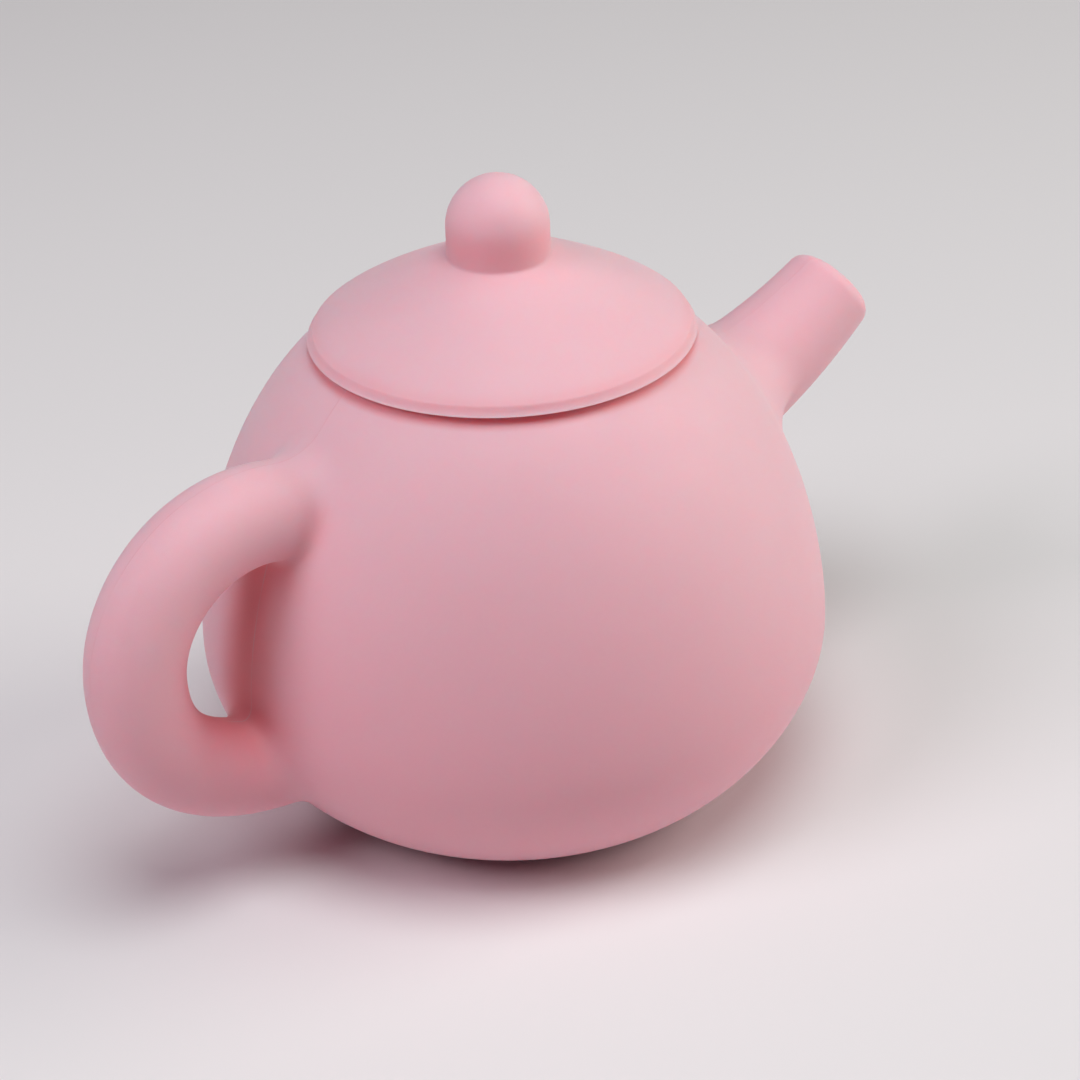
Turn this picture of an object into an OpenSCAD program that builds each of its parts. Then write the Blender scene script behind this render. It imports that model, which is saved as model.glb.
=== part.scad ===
// Toy teapot of soft moulded silicone: a round bowl with a short spout and a ring handle,
// closed by a loose domed lid whose plug ring stands in the bowl's mouth.
// Millimetres. +Z is up and +X points to the spout. The flat base lies on z = 0, and the
// Z axis is the axis of the bowl and of the lid.

/* [Bowl] */
// Radius of the flat base
base_r = 23.4; // [20:0.2:27]
// How far the base's round edge runs outwards before it turns up
base_sweep = 8.9; // [6:0.1:12]
// Radius of the belly, the widest part of the bowl
belly_r = 45; // [42:0.5:50]
// Height of the belly
belly_z = 24.7; // [21:0.1:29]
// Fullness of the side just below the belly
belly_drop = 11.9; // [8:0.1:15]
// Fullness of the side just above the belly
belly_rise = 10.9; // [7:0.1:15]
// Height of the rim
rim_z = 69.8; // [66:0.1:74]
// Outer radius of the rim
rim_r = 24.8; // [23:0.1:28]
// Length over which the shoulder runs straight into the rim
shoulder_run = 19.4; // [15:0.1:22]
// Slope of the shoulder at the rim, in degrees from level
shoulder_slope = 37.3; // [33:0.1:42]
// Width of the flat rim, from its outer edge to the mouth
rim_w = 3.5; // [2.6:0.1:4.4]
// Thickness of the rim
rim_t = 3; // [2.2:0.1:4]
// Thickness of the side wall
wall_t = 2.6; // [2:0.1:3.2]
// Thickness of the floor
floor_t = 3; // [2.6:0.1:4.5]

/* [Spout] */
// Height at which the spout's axis leaves the bowl
spout_root_z = 46; // [42:0.5:50]
// Slope of the spout, in degrees from level
spout_slope = 29.8; // [20:0.2:40]
// Length of the spout along its axis, from the bowl to the tip
spout_len = 24.8; // [18:0.1:32]
// Outer radius of the spout where it leaves the bowl
spout_root_r = 8.7; // [7.8:0.1:10]
// Outer radius of the spout at its tip
spout_tip_r = 6.8; // [6.2:0.1:7.6]
// Rounding of the tip's outer edge
spout_tip_round = 2.4; // [0.8:0.1:2.4]
// Radius of the passage through the spout
spout_bore_r = 3.8; // [3:0.1:4.2]
// How far the spout's collar stands out round it at the bowl
spout_collar = 1.4; // [0.6:0.1:2.4]
// Height of the spout's collar above the bowl
spout_collar_h = 4; // [3:0.1:6]

/* [Handle] */
// Radius of the handle's round section
handle_r = 6.8; // [5:0.1:8]
// Radius of the ring that the handle's centre line follows
handle_ring_r = 19.5; // [17:0.1:22]
// Distance of the handle's centre line past the belly, at its furthest point
handle_reach = 17.1; // [15:0.1:22]
// Height of the ring's centre
handle_z = 36.8; // [34:0.1:39]
// How far the handle's collars stand out round it at the bowl
handle_collar = 1.2; // [0.6:0.1:2]
// Height of the handle's collars above the bowl
handle_collar_h = 3.2; // [2.4:0.1:5]

/* [Lid] */
// How far the lid stands out past the rim
lid_overhang = 2.1; // [1:0.1:2.8]
// Height of the lid's upright edge
edge_h = 0.3; // [0.2:0.1:1.5]
// Height of the dome, from the lid's edge to the foot of the knob
dome_h = 10.7; // [8:0.1:14]
// How far in from the lid's edge the dome turns over
dome_turn_in = 2.2; // [1:0.1:5]
// How far above the lid's edge the dome turns over
dome_turn_up = 3.1; // [2.2:0.1:6]
// Thickness of the dome
dome_t = 3; // [2:0.1:3.6]
// Depth of the plug ring below the rim
plug_depth = 6; // [4:0.1:10]
// Wall of the plug ring
plug_t = 2.4; // [1.6:0.1:3.2]
// Gap between the plug ring and the mouth
plug_gap = 0.35; // [0.3:0.05:0.8]
// Bevel of the plug ring's lower edge
plug_bevel = 0.8; // [0.4:0.1:1.2]

/* [Knob] */
// Radius of the knob
knob_r = 7.2; // [6:0.1:9]
// Height of the knob
knob_h = 11.6; // [10:0.1:16]
// Fillet at the foot of the knob
knob_fillet = 0.8; // [0.4:0.1:1.5]

/* [Hidden] */
$fn = 96;
silicone = [0.90, 0.68, 0.72];
// Straight steps along each curved outline
curve_steps = 16;
// Steps round a small edge or collar
edge_steps = 6;
// A collar's thin end lies this far inside the piece that it goes round
collar_bite = 0.8;
// Cutting tools run this far past the face that they cut
past = 1;
// Turn of the handle's ring, up or down from its furthest point, that ends well inside the bowl
inside_turn = 150;

mouth_r = rim_r - rim_w;
plug_r = mouth_r - plug_gap;
plug_bore_r = plug_r - plug_t;
cap_r = rim_r + lid_overhang;
edge_z = rim_z + edge_h;
dome_z = edge_z + dome_h;

// Outlines are (radius, height) pairs, each a curve pulled towards its middle points
lower_side = [
    [base_r, 0],
    [base_r + base_sweep, 0],
    [belly_r, belly_z - belly_drop],
    [belly_r, belly_z]
];
upper_side = [
    [belly_r, belly_z],
    [belly_r, belly_z + belly_rise],
    [rim_r + shoulder_run * cos(shoulder_slope), rim_z - shoulder_run * sin(shoulder_slope)],
    [rim_r, rim_z]
];
dome_side = [
    [cap_r, edge_z],
    [cap_r - dome_turn_in, edge_z + dome_turn_up],
    [knob_r + knob_fillet, dome_z]
];

// Point of a curve at t, from 0 to 1, by repeated halving of its control lines
function curve_point(p, t) =
    len(p) == 1 ? p[0]
    : curve_point([for (i = [0 : len(p) - 2]) p[i] * (1 - t) + p[i + 1] * t], t);

// Direction of a curve at t, as a unit vector
function curve_heading(p, t) =
    let (v = curve_point([for (i = [0 : len(p) - 2]) p[i + 1] - p[i]], t))
    v / norm(v);

// Points along a curve, moved towards its inner side by depth
function curve_points(p, depth = 0) = [
    for (i = [0 : curve_steps])
        let (t = i / curve_steps, v = curve_heading(p, t))
        curve_point(p, t) + depth * [-v[1], v[0]]
];

// Points round an arc, from angle a to angle b
function arc_points(centre, r, a, b, steps) = [
    for (i = [0 : steps])
        let (angle = a + (b - a) * i / steps)
        centre + r * [cos(angle), sin(angle)]
];

// Value between low and high at which f changes sign
function crossing(f, low, high, rounds = 40) =
    let (mid = (low + high) / 2)
    rounds == 0 ? mid
    : (f(mid) > 0) == (f(low) > 0) ? crossing(f, mid, high, rounds - 1)
    : crossing(f, low, mid, rounds - 1);

// Stretch of the bowl's side that holds height z, and the place on it
function side_at(z) = z < belly_z ? lower_side : upper_side;
function place_at(z) = crossing(function(t) curve_point(side_at(z), t)[1] - z, 0, 1);

// Outer radius of the bowl at height z, and how far its face looks up there, in degrees
function bowl_r(z) = curve_point(side_at(z), place_at(z))[0];
function bowl_tilt(z) = let (v = curve_heading(side_at(z), place_at(z))) atan2(-v[0], v[1]);

// Outer form of the bowl, without its hollow
module bowl_form() {
    rotate_extrude()
        polygon(concat([[0, 0]], curve_points(lower_side), curve_points(upper_side), [[0, rim_z]]));
}

// Hollow of the bowl: the side moved in by the wall, between the floor and the rim
module bowl_hollow() {
    rotate_extrude()
        intersection() {
            polygon(concat(
                [[0, 0]],
                curve_points(lower_side, wall_t),
                curve_points(upper_side, wall_t),
                [[0, rim_z]]
            ));
            translate([0, floor_t])
                square([belly_r, rim_z - rim_t - floor_t]);
        }
}

// Concave collar on the bowl's surface at height z, round a piece of radius r that leaves it there.
// Its flank is a parabola above the surface and runs on below it along the parabola's tangent.
module collar(z, r, size, height) {
    thin_r = r - collar_bite;
    spread = size + collar_bite;
    tangent_run = 2 * spread;
    root = [thin_r + spread + tangent_run, -height];
    flank = [
        for (i = [0 : edge_steps])
            let (u = i / edge_steps)
            [thin_r + spread * pow(1 - u, 2), height * u]
    ];
    translate([bowl_r(z), 0, z])
        rotate([0, 90 - bowl_tilt(z), 0])
            rotate_extrude()
                polygon(concat([[0, -height], root], flank, [[0, height]]));
}

// Places its children on the spout's axis, which runs along their +Z from the bowl's surface
module on_spout_axis() {
    translate([bowl_r(spout_root_z), 0, spout_root_z])
        rotate([0, 90 - spout_slope, 0])
            children();
}

// Passage of the spout, from the hollow of the bowl to past the tip
module spout_passage() {
    reach_in = spout_root_r + wall_t;
    on_spout_axis()
        translate([0, 0, -reach_in])
            cylinder(r = spout_bore_r, h = reach_in + spout_len + past);
}

module bowl() {
    color(silicone)
        difference() {
            bowl_form();
            bowl_hollow();
            translate([0, 0, rim_z - rim_t - past])
                cylinder(r = mouth_r, h = rim_t + 2 * past);
            spout_passage();
        }
}

module spout() {
    sink = spout_root_r;
    taper = (spout_root_r - spout_tip_r) / spout_len;
    shaft_top = spout_len - spout_tip_round;
    edge_r = spout_root_r - taper * shaft_top - spout_tip_round;
    tip = arc_points([edge_r, shaft_top], spout_tip_round, 0, 90, edge_steps);
    color(silicone)
        difference() {
            union() {
                on_spout_axis()
                    rotate_extrude()
                        polygon(concat(
                            [[0, -sink], [spout_root_r + taper * sink, -sink]],
                            tip,
                            [[0, spout_len]]
                        ));
                collar(spout_root_z, spout_root_r, spout_collar, spout_collar_h);
            }
            bowl_form();
            spout_passage();
        }
}

// Distance of the handle ring's centre from the axis of the bowl
handle_x = belly_r + handle_reach - handle_ring_r;

// Point of the handle's ring at angle a, as (distance from the axis, height)
function ring_point(a) = [handle_x, handle_z] + handle_ring_r * [cos(a), sin(a)];

// Height at which the ring enters the bowl, with turn 1 for the upper foot and -1 for the lower
function foot_z(turn) =
    let (outside = function(a) let (p = ring_point(turn * a)) p[0] - bowl_r(p[1]))
    ring_point(turn * crossing(outside, 0, inside_turn))[1];

// The ring runs on inside the bowl, where the bowl's form cuts it off
module handle() {
    color(silicone)
        mirror([1, 0, 0])
            difference() {
                union() {
                    translate([handle_x, 0, handle_z])
                        rotate([90, 0, 0])
                            rotate_extrude()
                                translate([handle_ring_r, 0])
                                    circle(r = handle_r);
                    for (turn = [1, -1])
                        collar(foot_z(turn), handle_r, handle_collar, handle_collar_h);
                }
                bowl_form();
            }
}

module lid_cap() {
    color(silicone)
        difference() {
            rotate_extrude()
                polygon(concat([[0, rim_z], [cap_r, rim_z]], curve_points(dome_side), [[0, dome_z]]));
            rotate_extrude()
                intersection() {
                    polygon(concat(
                        [[0, rim_z - past], [cap_r, rim_z - past]],
                        curve_points(dome_side, dome_t),
                        [[0, dome_z - dome_t]]
                    ));
                    translate([0, rim_z - past])
                        square([plug_bore_r, dome_z]);
                }
        }
}

module lid_knob() {
    foot = arc_points([knob_r + knob_fillet, knob_fillet], knob_fillet, -90, -180, edge_steps);
    crown = arc_points([0, knob_h - knob_r], knob_r, 0, 90, curve_steps);
    color(silicone)
        translate([0, 0, dome_z])
            rotate_extrude()
                polygon(concat([[0, 0]], foot, crown));
}

module lid_plug() {
    color(silicone)
        rotate_extrude()
            polygon([
                [plug_bore_r, rim_z],
                [plug_bore_r, rim_z - plug_depth],
                [plug_r - plug_bevel, rim_z - plug_depth],
                [plug_r, rim_z - plug_depth + plug_bevel],
                [plug_r, rim_z]
            ]);
}

bowl();
spout();
handle();
lid_cap();
lid_knob();
lid_plug();
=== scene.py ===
# Toy teapot of soft pink silicone: one seamless pot with spout and handle, and a loose domed lid.
# Sizes in the dictionaries are millimetres and degrees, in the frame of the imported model.
from math import cos, pi, radians, sin
import bmesh
import bpy
import numpy as np
from mathutils import Matrix, Vector


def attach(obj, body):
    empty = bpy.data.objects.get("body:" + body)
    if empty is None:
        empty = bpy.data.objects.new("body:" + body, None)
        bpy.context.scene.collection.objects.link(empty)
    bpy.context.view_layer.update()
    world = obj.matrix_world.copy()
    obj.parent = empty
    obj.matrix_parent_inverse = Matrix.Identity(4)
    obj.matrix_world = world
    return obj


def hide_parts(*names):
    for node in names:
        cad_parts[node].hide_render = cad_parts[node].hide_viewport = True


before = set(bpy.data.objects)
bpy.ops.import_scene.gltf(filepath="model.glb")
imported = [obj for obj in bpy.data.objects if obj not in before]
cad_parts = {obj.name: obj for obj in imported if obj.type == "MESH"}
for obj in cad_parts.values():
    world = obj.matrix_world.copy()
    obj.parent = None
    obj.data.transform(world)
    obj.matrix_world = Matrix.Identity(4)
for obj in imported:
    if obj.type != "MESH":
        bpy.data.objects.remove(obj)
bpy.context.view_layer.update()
mm = 0.001
print("frame loaded:", ", ".join(sorted(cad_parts)))


# Lines and surfaces

def curveThrough(controls, t):
    # Point of a curve at t: neighbouring control points blended again and again until one is left
    rows = [np.asarray(c, float) for c in controls]
    while len(rows) > 1:
        rows = [a + (b - a) * t for a, b in zip(rows, rows[1:])]
    return rows[0]


def curveLine(controls, steps):
    return curveThrough(controls, np.linspace(0, 1, steps + 1)[:, None])


def straightLine(start, end, steps):
    return curveLine([start, end], steps)


def softCorner(before, corner, after, cut, steps=6):
    # A corner of an outline, rounded by a curve that starts and ends at cut from it
    before, corner, after = (np.asarray(p, float) for p in (before, corner, after))
    toBefore = (before - corner) / np.linalg.norm(before - corner)
    toAfter = (after - corner) / np.linalg.norm(after - corner)
    return curveLine([corner + cut * toBefore, corner, corner + cut * toAfter], steps)


def arcLine(centre, radius, fromAngle, toAngle, steps):
    # Points at even angles round a centre
    angle = np.radians(np.linspace(fromAngle, toAngle, steps + 1))
    return np.stack([centre[0] + radius * np.cos(angle), centre[1] + radius * np.sin(angle)], axis=-1)


def lengthsAlong(line):
    # Running length at each point of a line
    steps = np.linalg.norm(np.diff(line, axis=0), axis=1)
    return np.concatenate([[0], np.cumsum(steps)])


def valuesAt(lengths, columns, s):
    # Values of a line at running length s, straight between its points
    return np.stack([np.interp(s, lengths, column) for column in columns.T], axis=-1)


def headingsAlong(line):
    # Direction of a line at each of its points
    slope = np.gradient(line, lengthsAlong(line), axis=0)
    return slope / np.linalg.norm(slope, axis=1, keepdims=True)


def joinLines(lines):
    # Lines end to end, with the points that two of them share kept once
    line = np.concatenate(lines)
    step = np.linalg.norm(np.diff(line, axis=0), axis=1)
    return line[np.concatenate([[True], step > 1e-6])]


def spin(outline, angles):
    # Outline of (radius, height) turned about Z: one row for each of its points, one column for each angle
    radius, height = outline[:, :1], outline[:, 1:]
    return np.stack(np.broadcast_arrays(radius * np.cos(angles), radius * np.sin(angles), height), axis=-1)


def unit(vectors):
    return vectors / np.linalg.norm(vectors, axis=-1, keepdims=True)


def gridFaces(rows, columns, rowsClosed=False, keep=None):
    # Quads of a grid whose columns go all the way round, as corner numbers counted row by row
    row = np.arange(rows if rowsClosed else rows - 1)[:, None]
    column = np.arange(columns)[None, :]
    nextRow, nextColumn = (row + 1) % rows, (column + 1) % columns
    corners = [row * columns + column, row * columns + nextColumn,
               nextRow * columns + nextColumn, nextRow * columns + column]
    quads = np.stack(np.broadcast_arrays(*corners), axis=-1)
    return quads[keep] if keep is not None else quads.reshape(-1, 4)


def makePiece(name, patches, corners, material, body, nodes):
    # Patches are (grid of points in millimetres, quads): they are joined where their edges meet,
    # and their faces are turned outwards. Corners are (points, reach, depth) of painted shade: the painted
    # shade has that depth at the points and fades away from them like a bell curve
    points, quads, count = [], [], 0
    for grid, faces in patches:
        points.append(grid.reshape(-1, 3) * mm)
        quads.append(faces + count)
        count += grid.size // 3
    mesh = bpy.data.meshes.new(name)
    mesh.from_pydata(np.concatenate(points), [], np.concatenate(quads).tolist())
    work = bmesh.new()
    work.from_mesh(mesh)
    bmesh.ops.delete(work, geom=[v for v in work.verts if not v.link_faces], context="VERTS")
    bmesh.ops.remove_doubles(work, verts=work.verts, dist=0.002 * mm)
    bmesh.ops.recalc_face_normals(work, faces=work.faces)
    openEdges = sum(not e.is_manifold for e in work.edges)
    work.to_mesh(mesh)
    work.free()
    mesh.polygons.foreach_set("use_smooth", np.ones(len(mesh.polygons), bool))
    mesh.materials.append(material)
    place = np.empty(len(mesh.vertices) * 3)
    mesh.vertices.foreach_get("co", place)
    place = place.reshape(-1, 3) / mm
    # Painted shade, strongest at the listed points and kept as a point attribute for the silicone
    shadeDepth = np.zeros(len(place))
    for line, reach, depth in corners:
        away = np.full(len(place), np.inf)
        for point in line:
            away = np.minimum(away, np.linalg.norm(place - point, axis=1))
        shadeDepth = np.maximum(shadeDepth, depth * np.exp(-(away / reach) ** 2))
    mesh.attributes.new("paintedShade", "FLOAT", "POINT").data.foreach_set("value", shadeDepth)
    piece = bpy.data.objects.new(name, mesh)
    bpy.context.scene.collection.objects.link(piece)
    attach(piece, body)
    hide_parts(*nodes)
    print(f"{name}: {len(mesh.polygons)} faces, {openEdges} open edges")


# Silicone

finish = dict(
    colour=(0.815, 0.45, 0.52), paleColour=(0.825, 0.47, 0.54), cloudSize=38,
    # Painted light and shade: the deeper pink low down, blended to the paler colour above
    lowShadeColour=(0.80, 0.37, 0.44), lowZ=8, highZ=62,
    # Painted shade: the deep red mixed in at corners, crevices and under the lid's edge
    paintedShadeColour=(0.95, 0.06, 0.06),
    roughness=0.62, roughSpread=0.05, roughSize=5, specular=0.55,
    glowWeight=1.0, glowRadius=(1.0, 0.27, 0.22), glowDepth=2.4,
    sheenWeight=0.05, sheenRoughness=0.6,
    grainSize=0.22, grainHeight=0.006, waveSize=14, waveHeight=0.05,
    speckSpacing=13, speckRadius=0.2, speckShare=0.4, speckColour=(0.50, 0.27, 0.30),
    seamHalfWidth=0.2, seamHeight=0.02, seamColour=(0.80, 0.39, 0.46), seamBreak=6,
)


def addNode(tree, kind, **settings):
    made = tree.nodes.new(kind)
    for key, value in settings.items():
        setattr(made, key, value)
    return made


def siliconeFinish(name, hasSeam):
    # Matte moulded silicone: light sinks in a little, the skin has a fine grain and slow waves,
    # the colour drifts in soft clouds, a few specks of dust cling, and a mould line runs along y = 0.
    # Painted light and shade: the pink is paler higher up and deeper low down, and deep red painted shade
    # lies in the corners and crevices marked on the mesh
    material = bpy.data.materials.new(name)
    material.use_nodes = True
    tree = material.node_tree
    tree.nodes.clear()
    out = addNode(tree, "ShaderNodeOutputMaterial")
    shader = addNode(tree, "ShaderNodeBsdfPrincipled", subsurface_method="RANDOM_WALK")
    place = addNode(tree, "ShaderNodeTexCoord").outputs["Object"]
    link = tree.links.new
    link(shader.outputs["BSDF"], out.inputs["Surface"])

    def noise(size, detail):
        made = addNode(tree, "ShaderNodeTexNoise")
        made.inputs["Scale"].default_value = 1 / (size * mm)
        made.inputs["Detail"].default_value = detail
        link(place, made.inputs["Vector"])
        return made.outputs["Fac"]

    def ramp(value, low, high, toLow, toHigh, smooth=False):
        made = addNode(tree, "ShaderNodeMapRange", interpolation_type="SMOOTHSTEP" if smooth else "LINEAR")
        for key, number in zip(("From Min", "From Max", "To Min", "To Max"), (low, high, toLow, toHigh)):
            made.inputs[key].default_value = number
        link(value, made.inputs["Value"])
        return made.outputs["Result"]

    def mixColours(share, first, second):
        made = addNode(tree, "ShaderNodeMix", data_type="RGBA")
        link(share, made.inputs["Factor"])
        for socket, colour in ((made.inputs["A"], first), (made.inputs["B"], second)):
            if isinstance(colour, tuple):
                socket.default_value = (*colour, 1)
            else:
                link(colour, socket)
        return made.outputs["Result"]

    def bump(height, depth, before=None):
        made = addNode(tree, "ShaderNodeBump")
        made.inputs["Strength"].default_value = 1
        made.inputs["Distance"].default_value = depth * mm
        link(height, made.inputs["Height"])
        if before is not None:
            link(before, made.inputs["Normal"])
        return made.outputs["Normal"]

    def product(first, second):
        made = addNode(tree, "ShaderNodeMath", operation="MULTIPLY")
        link(first, made.inputs[0])
        link(second, made.inputs[1])
        return made.outputs["Value"]

    clouds = ramp(noise(finish["cloudSize"], 2), 0.35, 0.65, 0, 1, smooth=True)
    colour = mixColours(clouds, finish["colour"], finish["paleColour"])
    axes = addNode(tree, "ShaderNodeSeparateXYZ")
    link(place, axes.inputs["Vector"])
    # Painted light and shade: paler pink higher up, deeper pink low down, standing in for light from above
    height = ramp(axes.outputs["Z"], finish["lowZ"] * mm, finish["highZ"] * mm, 0, 1, smooth=True)
    colour = mixColours(height, finish["lowShadeColour"], colour)

    # A speck sits in some of the cells, where the distance to the cell's point is small
    cells = addNode(tree, "ShaderNodeTexVoronoi")
    cells.inputs["Scale"].default_value = 1 / (finish["speckSpacing"] * mm)
    link(place, cells.inputs["Vector"])
    reach = finish["speckRadius"] / finish["speckSpacing"]
    near = ramp(cells.outputs["Distance"], 0.5 * reach, reach, 0.8, 0, smooth=True)
    chosen = ramp(cells.outputs["Color"], finish["speckShare"], finish["speckShare"] + 0.01, 1, 0)
    specks = product(near, chosen)
    colour = mixColours(specks, colour, finish["speckColour"])

    # Painted shade: in inner corners, crevices and under the lid's edge the colour is mixed towards deep
    # red
    corner = addNode(tree, "ShaderNodeAttribute", attribute_name="paintedShade").outputs["Fac"]
    colour = mixColours(corner, colour, finish["paintedShadeColour"])

    skin = bump(noise(finish["waveSize"], 1), finish["waveHeight"])
    skin = bump(noise(finish["grainSize"], 3), finish["grainHeight"], skin)
    if hasSeam:
        across = addNode(tree, "ShaderNodeMath", operation="ABSOLUTE")
        link(axes.outputs["Y"], across.inputs[0])
        seam = ramp(across.outputs["Value"], 0, finish["seamHalfWidth"] * mm, 1, 0, smooth=True)
        faint = ramp(noise(finish["seamBreak"], 2), 0.3, 0.7, 0.1, 0.9, smooth=True)
        colour = mixColours(product(seam, faint), colour, finish["seamColour"])
        skin = bump(seam, finish["seamHeight"], skin)

    link(colour, shader.inputs["Base Color"])
    link(skin, shader.inputs["Normal"])
    low, high = finish["roughness"] - finish["roughSpread"], finish["roughness"] + finish["roughSpread"]
    link(ramp(noise(finish["roughSize"], 3), 0.3, 0.7, low, high), shader.inputs["Roughness"])
    shader.inputs["Specular IOR Level"].default_value = finish["specular"]
    shader.inputs["Subsurface Weight"].default_value = finish["glowWeight"]
    shader.inputs["Subsurface Radius"].default_value = finish["glowRadius"]
    shader.inputs["Subsurface Scale"].default_value = finish["glowDepth"] * mm
    shader.inputs["Sheen Weight"].default_value = finish["sheenWeight"]
    shader.inputs["Sheen Roughness"].default_value = finish["sheenRoughness"]
    return material


potSilicone = siliconeFinish("potSilicone", hasSeam=True)
lidSilicone = siliconeFinish("lidSilicone", hasSeam=False)
print("silicone mixed")


# Pot: bowl, spout and handle in one skin

bowl = dict(
    baseR=23.4, baseSweep=8.9, bellyR=45, bellyZ=24.7, bellyDrop=11.9, bellyRise=10.9,
    rimR=24.8, rimZ=69.8, shoulderRun=19.4, shoulderSlope=37.3,
    mouthR=21.3, rimThick=3, wallThick=2.6, floorThick=3, edgeCut=0.5,
    # Painted shade: a ring on the shoulder just under the lid's edge
    underLid=(26.05, 68.85), underLidReach=0.8, underLidShade=0.4,
    # Painted shade along tight fillets where a tube meets the bowl
    tightFillet=1.8, paintedShadeReach=2.2, paintedShade=0.2,
    columns=192, rowStep=1.3, curveSteps=300, baseRings=10, floorRings=14, wallRings=9,
)
handle = dict(
    sectionR=6.8, upperFoot=(37.98, 55.04), upperSlope=16.19, upperPull=13.14,
    reach=62.1, reachZ=37.19, pullAbove=11.84, pullBelow=14.63,
    lowerFoot=(37.66, 16.82), lowerPull=12.67, runInside=14,
    upperFillet=dict(outer=4.5, side=1.7, inner=1.3, power=2),
    lowerFillet=dict(outer=1.3, side=4.5, inner=2.6, power=6),
    # Painted shade in the finger gap, on the bowl and on the handle's inner side
    gapTurn=-3, gapZ=(25, 48), gapPoints=24, gapReach=5.5, gapShade=0.5, innerReach=6, innerShade=0.4,
    blockHalf=12, rings=84, curveSteps=200, insideSteps=60,
)
spout = dict(
    root=(34, 45.57), bend=(49.4, 49.15), tip=(61.95, 58.27), rootR=9.5, tipR=6.87,
    tipRound=2.2, boreR=3.8, boreEdge=0.35, runInside=12,
    fillet=dict(outer=1.2, side=9.6, inner=6, power=12), blockHalf=18, rings=30,
    curveSteps=240, insideSteps=60, tipSteps=10,
)


def makeWall(line):
    # A wall is the outline of a turned surface, with what is needed to find places on it
    heading = headingsAlong(line)
    order = np.argsort(line[:, 1])
    normals = np.stack([heading[:, 1], -heading[:, 0]], axis=-1)
    return dict(line=line, lengths=lengthsAlong(line), normals=normals, order=order, heights=line[order, 1])


def wallPoint(wall, angle, s):
    # Point of a wall at a turn about Z and a running length along its outline
    place = valuesAt(wall["lengths"], wall["line"], s)
    return np.stack([place[..., 0] * np.cos(angle), place[..., 0] * np.sin(angle), place[..., 1]], axis=-1)


def wallLength(wall, height):
    # Running length at which a wall passes a height
    return np.interp(height, wall["heights"], wall["lengths"][wall["order"]])


def wallNormal(wall, angle, s):
    # Direction straight out of a wall at a turn about Z and a running length
    lean = unit(valuesAt(wall["lengths"], wall["normals"], s))
    return np.stack([lean[..., 0] * np.cos(angle), lean[..., 0] * np.sin(angle), lean[..., 1]], axis=-1)


def makeTube(line, radii):
    # A round tube along a line in the plane of spout and handle
    return dict(line=line, lengths=lengthsAlong(line), headings=headingsAlong(line), radii=radii[:, None])


def tubePoint(tube, u, turn):
    # Point of a tube at running length u, turned about its line.
    # Turn 0 is the side to the right of the heading
    centre = valuesAt(tube["lengths"], tube["line"], u)
    heading = unit(valuesAt(tube["lengths"], tube["headings"], u))
    radius = valuesAt(tube["lengths"], tube["radii"], u)[..., 0]
    across = radius * np.cos(turn)
    sideways = radius * np.sin(turn) + 0 * across
    return np.stack([centre[..., 0] + across * heading[..., 1], sideways,
                     centre[..., 1] - across * heading[..., 0]], axis=-1)


def wallCrossing(tube, wall, turn, atStart):
    # Running length at which each line of the tube's skin passes through the wall
    u = tube["lengths"]
    skin = tubePoint(tube, u[:, None], turn[None, :])
    wallR = np.interp(skin[..., 2], wall["heights"], wall["line"][wall["order"], 0])
    gap = np.hypot(skin[..., 0], skin[..., 1]) - wallR
    half = (u < u[-1] / 2)[:, None]
    number = np.arange(len(u))[:, None]
    if atStart:
        inner = np.where((gap < 0) & half, number, 0).max(axis=0)
        outer = inner + 1
    else:
        inner = np.where((gap < 0) & ~half, number, len(u) - 1).min(axis=0)
        outer = inner - 1
    line = np.arange(len(turn))
    share = gap[inner, line] / (gap[inner, line] - gap[outer, line])
    return u[inner] + (u[outer] - u[inner]) * share


def footJoin(tube, wall, middle, turn, uCorner, step, fillet, rings=9, pull=0.6):
    # Fillet between a tube and a wall: a curve that leaves the tube and meets the wall,
    # both at the size of the fillet from the corner where tube and wall cross
    nudge = 0.05
    uTube = uCorner + step * fillet
    onTube, corner = tubePoint(tube, uTube, turn), tubePoint(tube, uCorner, turn)
    angle = middle + np.angle(np.exp(1j * (np.arctan2(corner[:, 1], corner[:, 0]) - middle)))
    around = np.roll(corner, -1, axis=0) - np.roll(corner, 1, axis=0)
    away = unit(np.cross(around, wallNormal(wall, angle, wallLength(wall, corner[:, 2]))))
    away *= np.sign(np.sum(away * (corner - corner.mean(axis=0)), axis=1, keepdims=True))
    target = corner + np.reshape(fillet, (-1, 1)) * away
    angle = middle + np.angle(np.exp(1j * (np.arctan2(target[:, 1], target[:, 0]) - middle)))
    s = wallLength(wall, target[:, 2])
    onWall, normal = wallPoint(wall, angle, s), wallNormal(wall, angle, s)
    tubeWay = unit(tubePoint(tube, uTube - step * nudge, turn) - onTube)
    wallWay = corner - onWall
    wallWay = wallWay - np.sum(wallWay * normal, axis=1, keepdims=True) * normal
    tubePull = pull * np.linalg.norm(corner - onTube, axis=1, keepdims=True)
    t = np.linspace(0, 1, rings + 1)[:, None, None]
    grid = curveThrough([onTube, onTube + tubePull * tubeWay, onWall + pull * wallWay, onWall], t)
    return grid, uTube, angle, s


def filletRound(fillet, turn):
    # Size of a fillet round a tube: outer at turn 0, side at a quarter turn, inner at half a turn.
    # The higher the power, the longer the outer size holds before the side size takes over
    towardsSide = abs(np.sin(turn)) ** np.where(np.cos(turn) > 0, fillet["power"], 2)
    ends = np.where(np.cos(turn) > 0, fillet["outer"], fillet["inner"])
    return ends + (fillet["side"] - ends) * towardsSide


def blockLoop(half):
    # Offsets round the edge of a square block of the grid, and their angles from its upper middle
    side = np.arange(-half, half + 1)
    across, up = (g.ravel() for g in np.meshgrid(side, side))
    edge = np.maximum(abs(across), abs(up)) == half
    turn = np.arctan2(across[edge], up[edge]) % (2 * pi)
    order = np.argsort(turn)
    return across[edge][order], up[edge][order], turn[order]


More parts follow.
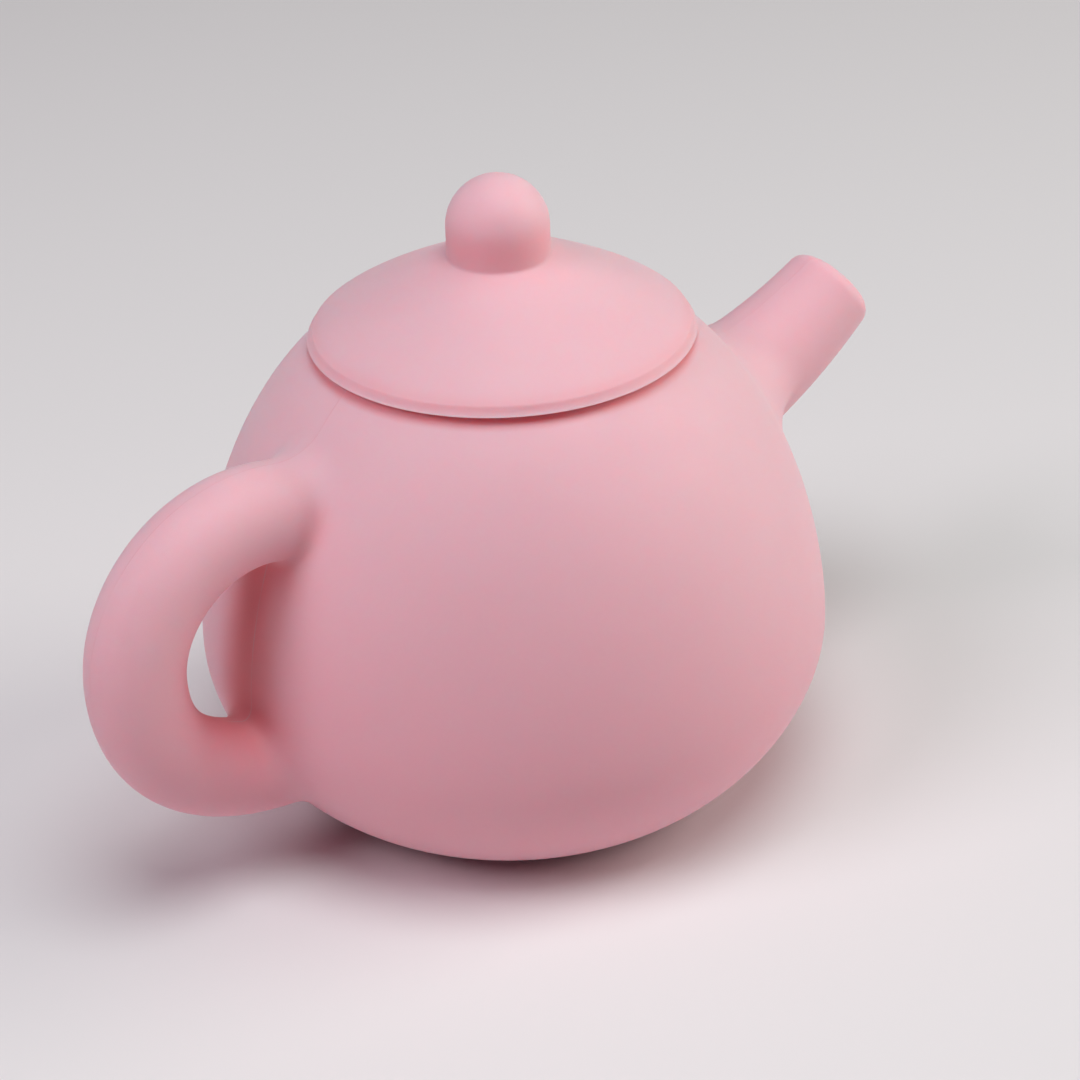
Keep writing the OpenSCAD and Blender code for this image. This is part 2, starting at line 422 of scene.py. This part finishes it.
def makePot():
    # A turned skin with square blocks opened in it, where the tubes of handle and spout grow out
    columnAngles = -pi / 2 + np.arange(bowl["columns"]) * 2 * pi / bowl["columns"]

    # Outer side: a curve from base to belly and one from belly to rim
    shoulder = radians(bowl["shoulderSlope"])
    shoulderPoint = (bowl["rimR"] + bowl["shoulderRun"] * cos(shoulder),
                     bowl["rimZ"] - bowl["shoulderRun"] * sin(shoulder))
    lower = [(bowl["baseR"], 0), (bowl["baseR"] + bowl["baseSweep"], 0),
             (bowl["bellyR"], bowl["bellyZ"] - bowl["bellyDrop"]), (bowl["bellyR"], bowl["bellyZ"])]
    upper = [lower[-1], (bowl["bellyR"], bowl["bellyZ"] + bowl["bellyRise"]),
             shoulderPoint, (bowl["rimR"], bowl["rimZ"])]
    side = joinLines([curveLine(lower, bowl["curveSteps"]), curveLine(upper, bowl["curveSteps"])])
    outerWall = makeWall(side)

    # Inner side: the outer one moved in by the wall, between the lip and the floor
    inside = side - bowl["wallThick"] * outerWall["normals"]
    lipZ = bowl["rimZ"] - bowl["rimThick"]
    inside = inside[(inside[:, 1] > bowl["floorThick"]) & (inside[:, 1] < lipZ)][::-1]
    innerWall = makeWall(inside)

    # Rows of the whole skin: base, outer side, rim, inner side, floor
    cut = bowl["edgeCut"]
    sideRows = int(round(outerWall["lengths"][-1] / bowl["rowStep"]))
    sideS = np.linspace(0, outerWall["lengths"][-1] - cut, sideRows + 1)
    insideRows = int(round(innerWall["lengths"][-1] / bowl["rowStep"]))
    insideS = np.linspace(cut, innerWall["lengths"][-1], insideRows + 1)
    rim, mouth = (bowl["rimR"], bowl["rimZ"]), (bowl["mouthR"], bowl["rimZ"])
    lip, root = (bowl["mouthR"], lipZ), tuple(inside[0])
    base = straightLine((0, 0), lower[0], bowl["baseRings"])
    sidePoints = valuesAt(outerWall["lengths"], side, sideS)
    insidePoints = valuesAt(innerWall["lengths"], inside, insideS)
    edges = [softCorner(sidePoints[-2], rim, mouth, cut), softCorner(rim, mouth, lip, cut),
             softCorner(mouth, lip, root, cut), softCorner(lip, root, insidePoints[1], cut)]
    floor = straightLine(inside[-1], (0, bowl["floorThick"]), bowl["floorRings"])
    outline = np.concatenate([base[:-1], sidePoints, *[e[1:] if k == 0 else e for k, e in enumerate(edges)],
                              insidePoints[1:], floor[1:]])
    firstSide = len(base) - 1
    firstInside = firstSide + len(sidePoints) + sum(len(e) for e in edges) - 2
    skin = spin(outline, columnAngles)
    keep = np.ones((len(outline) - 1, bowl["columns"]), bool)
    patches = []
    # Painted shade: a ring on the shoulder just under the lid's edge
    underLid = spin(np.array([bowl["underLid"]]), columnAngles)[0]
    corners = [(underLid, bowl["underLidReach"], bowl["underLidShade"])]

    outerSkin = dict(wall=outerWall, s=sideS, firstRow=firstSide)
    innerSkin = dict(wall=innerWall, s=insideS, firstRow=firstInside)

    def join(tube, skinSide, middle, upSign, loop, uCorner, step, fillet):
        # Opens a square block of the skin round a foot, and fills it with a ring of wall and the fillet
        wall, wallS, (across, up, turn) = skinSide["wall"], skinSide["s"], loop
        grid, uTube, footAngle, footS = footJoin(tube, wall, middle, turn, uCorner, step, fillet)
        row = int(round((footS.mean() - wallS[0]) / (wallS[1] - wallS[0])))
        column = int(round((middle - columnAngles[0]) / (2 * pi) * bowl["columns"]))
        sideSign = 1 if cos(middle) > 0 else -1
        rows, columns = row + upSign * up, column + sideSign * across
        half, blockRow = across.max(), skinSide["firstRow"] + row
        keep[blockRow - half:blockRow + half, column - half:column + half] = False
        share = np.linspace(0, 1, bowl["wallRings"])[:, None]
        loopAngle, loopS = columnAngles[columns], wallS[rows]
        ring = wallPoint(wall, footAngle + (loopAngle - footAngle) * share, footS + (loopS - footS) * share)
        patches.append((grid, gridFaces(len(grid), len(turn))))
        patches.append((ring, gridFaces(len(ring), len(turn))))
        # Painted shade along the corner where a tight fillet meets the tube
        tight = fillet < bowl["tightFillet"]
        corners.append((tubePoint(tube, uCorner, turn)[tight], bowl["paintedShadeReach"], bowl["paintedShade"]))
        return uTube

    # Handle: out of the shoulder, over and down through its furthest point, back into the belly
    slope = radians(handle["upperSlope"])
    way = np.array([cos(slope), sin(slope)])
    start = np.array(handle["upperFoot"], float)
    far = np.array([handle["reach"], handle["reachZ"]], float)
    end = np.array(handle["lowerFoot"], float)
    outward = [start, start + handle["upperPull"] * way, far + (0, handle["pullAbove"]), far]
    homeward = [far, far - (0, handle["pullBelow"]), end + (handle["lowerPull"], 0), end]
    line = joinLines([
        straightLine(start - handle["runInside"] * way, start, handle["insideSteps"]),
        curveLine(outward, handle["curveSteps"]),
        curveLine(homeward, handle["curveSteps"]),
        straightLine(end, end - (handle["runInside"], 0), handle["insideSteps"]),
    ]) * (-1, 1)
    tube = makeTube(line, np.full(len(line), float(handle["sectionR"])))
    loop = blockLoop(handle["blockHalf"])
    turn = loop[2]
    uUpper, uLower = wallCrossing(tube, outerWall, turn, True), wallCrossing(tube, outerWall, turn, False)
    uUpper = join(tube, outerSkin, pi, 1, loop, uUpper, 1, filletRound(handle["upperFillet"], turn))
    uLower = join(tube, outerSkin, pi, -1, loop, uLower, -1, filletRound(handle["lowerFillet"], turn))
    share = np.linspace(0, 1, handle["rings"] + 1)[:, None]
    ring = tubePoint(tube, uUpper + (uLower - uUpper) * share, turn)
    patches.append((ring, gridFaces(len(share), len(turn))))

    # Light hardly gets in between handle and bowl, so painted shade lies deep on both sides of the finger
    # gap
    innerSide = ring[:, np.argmin(abs(turn - pi))]
    gapS = wallLength(outerWall, np.linspace(*handle["gapZ"], handle["gapPoints"]))
    gapSide = wallPoint(outerWall, pi + radians(handle["gapTurn"]), gapS)
    corners.append((gapSide, handle["gapReach"], handle["gapShade"]))
    corners.append((innerSide, handle["innerReach"], handle["innerShade"]))

    # Spout: a tapering tube that bends upwards, with a rounded tip and a passage into the bowl
    line = curveLine([spout["root"], spout["bend"], spout["tip"]], spout["curveSteps"])
    first = headingsAlong(line)[0]
    inner = straightLine(line[0] - spout["runInside"] * first, line[0], spout["insideSteps"])
    taper = np.linspace(spout["rootR"], spout["tipR"], len(line))
    radii = np.concatenate([np.full(len(inner) - 1, spout["rootR"]), taper])
    line = joinLines([inner, line])
    tube = makeTube(line, radii)
    loop = blockLoop(spout["blockHalf"])
    turn = loop[2]
    uRoot = wallCrossing(tube, outerWall, turn, True)
    uRoot = join(tube, outerSkin, 0, -1, loop, uRoot, 1, filletRound(spout["fillet"], turn))
    uEnd = tube["lengths"][-1] - spout["tipRound"]
    share = np.linspace(0, 1, spout["rings"] + 1)[:, None]
    shaft = tubePoint(tube, uRoot + (uEnd - uRoot) * share, turn)
    patches.append((shaft, gridFaces(len(share), len(turn))))

    # Tip: the rounded edge and the flat face, as radius and distance past the end of the shaft
    shaftR = float(np.interp(uEnd, tube["lengths"], radii))
    boreEnd = (spout["boreR"], spout["tipRound"])
    tipLine = joinLines([
        arcLine((shaftR - spout["tipRound"], 0), spout["tipRound"], 0, 90, spout["tipSteps"]),
        softCorner((shaftR, spout["tipRound"]), boreEnd, (spout["boreR"], 0), spout["boreEdge"]),
    ])
    centre = valuesAt(tube["lengths"], line, uEnd)
    heading = unit(valuesAt(tube["lengths"], tube["headings"], uEnd))
    middleLine = centre + tipLine[:, 1:] * heading
    tipGrid = np.stack(np.broadcast_arrays(
        middleLine[:, :1] + tipLine[:, :1] * np.cos(turn) * heading[1], tipLine[:, :1] * np.sin(turn),
        middleLine[:, 1:] - tipLine[:, :1] * np.cos(turn) * heading[0]), axis=-1)
    patches.append((tipGrid, gridFaces(len(tipGrid), len(turn))))

    # Passage: from the tip's edge back to the inner side of the bowl
    bore = makeTube(line, np.full(len(line), float(spout["boreR"])))
    uInside = wallCrossing(bore, innerWall, turn, True)
    uInside = join(bore, innerSkin, 0, 1, loop, uInside, 1, np.full(len(turn), spout["boreEdge"]))
    boreGrid = tubePoint(bore, uInside + (uEnd - uInside) * share, turn)
    boreGrid = np.concatenate([boreGrid, tipGrid[-1:]])
    patches.append((boreGrid, gridFaces(len(boreGrid), len(turn))))

    patches.insert(0, (skin, gridFaces(len(outline), bowl["columns"], keep=keep)))
    makePiece("pot", patches, corners, potSilicone, "pot", ["bowl", "spout", "handle"])


makePot()


# Lid: dome and knob in one turned skin, and the plug ring under them

lid = dict(
    capR=26.9, capZ=69.8, domeTop=(8.0, 80.8), domeTurn=(23.6, 73.55), domeEdge=(26.1, 71.05),
    bandHollow=(26.4, 70.3), bandCut=0.2, edgeCut=0.15, domeThick=3, boreR=18.55, boreCut=0.5,
    # Painted shade: a ring on the knob's shaft and a ring under the lid's brim
    knobR=7.1, knobTop=92.4, knobCut=0.35, shaftShadeZ=83.6, shaftReach=3, shaftShade=0.2,
    brimReach=1.2, brimShade=0.9, columns=192, domeSteps=60, crownSteps=24,
)
# The plug's top outer corner, tucked under the lid, gets painted shade
plug = dict(outerR=20.95, wall=2.4, depth=6, topZ=69.8, edgeCut=0.7, paintedShadeReach=0.8, paintedShade=0.9)


def turnAngles(count):
    # Even angles all the way round
    return np.arange(count) * 2 * pi / count


def makeLid():
    # Outline turned about Z: a quarter circle over the knob, its shaft, the curve of the dome,
    # a slightly hollow band down to the edge, then back inside and up under the dome
    dome = curveLine([lid["domeTop"], lid["domeTurn"], lid["domeEdge"]], lid["domeSteps"])
    fall = headingsAlong(dome)[0]
    foot = dome[0] - (lid["domeTop"][0] - lid["knobR"]) / fall[0] * fall
    knobMiddle = lid["knobTop"] - lid["knobR"]
    crown = arcLine((0, knobMiddle), lid["knobR"], 90, 0, lid["crownSteps"])
    shaft = straightLine(crown[-1], foot + (0, lid["knobCut"]), 5)
    knobFoot = softCorner(crown[-1], foot, dome[4], lid["knobCut"])
    dome = dome[dome[:, 0] > knobFoot[-1, 0] + 0.1]
    band = softCorner(dome[-2], lid["domeEdge"], lid["bandHollow"], lid["bandCut"])
    edge = softCorner(lid["bandHollow"], (lid["capR"], lid["capZ"]), (0, lid["capZ"]), lid["edgeCut"], 8)
    flare = curveLine([band[-1], lid["bandHollow"], edge[0]], 6)
    normals = makeWall(dome)["normals"]
    under = dome - lid["domeThick"] * normals * np.sign(normals[:, 1:])
    under = under[under[:, 0] < lid["boreR"]][::-1]
    boreTop, boreFoot = (lid["boreR"], float(under[0, 1])), (lid["boreR"], lid["capZ"])
    brim = straightLine(edge[-1], (lid["boreR"] + lid["boreCut"], lid["capZ"]), 6)
    outline = joinLines([
        crown, shaft, knobFoot, dome[dome[:, 1] > band[0, 1]], band, flare, edge, brim,
        softCorner((lid["capR"], lid["capZ"]), boreFoot, boreTop, lid["boreCut"]),
        softCorner(boreFoot, boreTop, under[1], lid["boreCut"]),
        under[1:], straightLine(under[-1], (0, float(under[-1, 1])), 6),
    ])
    grid = spin(outline, turnAngles(lid["columns"]))
    patches = [(grid, gridFaces(len(outline), lid["columns"]))]
    # Painted shade: a ring round the knob's shaft and a ring under the brim where the lid sits on the rim
    shadeLine = np.array([(lid["knobR"], lid["shaftShadeZ"]), (bowl["rimR"], lid["capZ"])])
    rings = spin(shadeLine, turnAngles(lid["columns"]))
    corners = [(rings[0], lid["shaftReach"], lid["shaftShade"]),
               (rings[1], lid["brimReach"], lid["brimShade"])]
    makePiece("lid", patches, corners, lidSilicone, "lid", ["lid_cap", "lid_knob"])


def makePlug():
    # A rectangle with two rounded lower corners, turned about Z
    innerR, low, cut = plug["outerR"] - plug["wall"], plug["topZ"] - plug["depth"], plug["edgeCut"]
    corners = [(innerR, plug["topZ"]), (innerR, low), (plug["outerR"], low), (plug["outerR"], plug["topZ"])]
    outline = joinLines([
        straightLine(corners[0], (innerR, low + cut), 6),
        softCorner(corners[0], corners[1], corners[2], cut),
        softCorner(corners[1], corners[2], corners[3], cut),
        straightLine((plug["outerR"], low + cut), corners[3], 6),
    ])
    grid = spin(outline, turnAngles(lid["columns"]))
    patches = [(grid, gridFaces(len(outline), lid["columns"], rowsClosed=True))]
    # Painted shade in a ring at the plug's top outer corner
    topRing = spin(np.array([corners[3]]), turnAngles(lid["columns"]))[0]
    paintedShadeRings = [(topRing, plug["paintedShadeReach"], plug["paintedShade"])]
    makePiece("lidPlug", patches, paintedShadeRings, lidSilicone, "lid_ring", ["lid_plug"])


makeLid()
makePlug()


# Floor, light and camera

stage = dict(
    floorR=4000, floorColour=(0.79, 0.725, 0.745), floorRoughness=0.75, floorSpecular=0.2,
    floorRings=9, floorColumns=64, worldColour=(0.96, 0.97, 1.0), worldLevel=0.04,
)
lamps = dict(
    overhead=dict(spot=(-70, -240, 890), aim=(0, 0, 30), size=600, power=4.8, colour=(0.88, 1.0, 0.98)),
    left=dict(spot=(-1014, 88, 1048), aim=(0, 0, 30), size=720, power=7.9, colour=(0.98, 0.93, 1.0)),
    right=dict(spot=(1224, -646, 676), aim=(0, 0, 30), size=1020, power=12.8, colour=(0.98, 1.0, 0.91)),
)
camera = dict(spot=(-213.5, -297.11, 244.44), aim=(2.363, -3.779, 37.045), roll=-2.133, lens=97.897,
              sensor=36, clipStart=10)


def makeFloor():
    # A round sheet: rings of points about the origin, wider apart further out
    angles = turnAngles(stage["floorColumns"])
    radii = stage["floorR"] * mm * np.linspace(0, 1, stage["floorRings"]) ** 2
    outline = np.stack([radii, 0 * radii], axis=-1)
    mesh = bpy.data.meshes.new("floor")
    mesh.from_pydata(spin(outline, angles).reshape(-1, 3), [], gridFaces(len(radii), len(angles)).tolist())
    work = bmesh.new()
    work.from_mesh(mesh)
    bmesh.ops.remove_doubles(work, verts=work.verts, dist=0.01 * mm)
    work.to_mesh(mesh)
    work.free()
    material = bpy.data.materials.new("paleFloor")
    material.use_nodes = True
    shader = material.node_tree.nodes["Principled BSDF"]
    shader.inputs["Base Color"].default_value = (*stage["floorColour"], 1)
    shader.inputs["Roughness"].default_value = stage["floorRoughness"]
    shader.inputs["Specular IOR Level"].default_value = stage["floorSpecular"]
    mesh.materials.append(material)
    floor = bpy.data.objects.new("floor", mesh)
    bpy.context.scene.collection.objects.link(floor)


def aimAt(obj, spot, aim, roll=0):
    # Places a lamp or camera at a spot, looking at its aim, and turned about that line by the roll
    spot, aim = Vector(spot) * mm, Vector(aim) * mm
    turn = (aim - spot).to_track_quat("-Z", "Y").to_matrix() @ Matrix.Rotation(radians(roll), 3, "Z")
    obj.matrix_world = Matrix.Translation(spot) @ turn.to_4x4()
    bpy.context.scene.collection.objects.link(obj)


def makeLamps():
    for name, settings in lamps.items():
        lamp = bpy.data.lights.new(name, "AREA")
        lamp.shape = "DISK"
        lamp.size = settings["size"] * mm
        lamp.energy = settings["power"]
        lamp.color = settings["colour"]
        aimAt(bpy.data.objects.new(name, lamp), settings["spot"], settings["aim"])
    world = bpy.data.worlds.new("paleRoom")
    bpy.context.scene.world = world
    world.use_nodes = True
    sky = world.node_tree.nodes["Background"]
    sky.inputs["Color"].default_value = (*stage["worldColour"], 1)
    sky.inputs["Strength"].default_value = stage["worldLevel"]


def makeCamera():
    lens = bpy.data.cameras.new("camera")
    lens.lens = camera["lens"]
    lens.sensor_width = camera["sensor"]
    lens.clip_start = camera["clipStart"] * mm
    eye = bpy.data.objects.new("camera", lens)
    aimAt(eye, camera["spot"], camera["aim"], camera["roll"])
    bpy.context.scene.camera = eye


makeFloor()
makeLamps()
makeCamera()
bpy.context.scene.view_settings.view_transform = "Standard"
print("stage set")
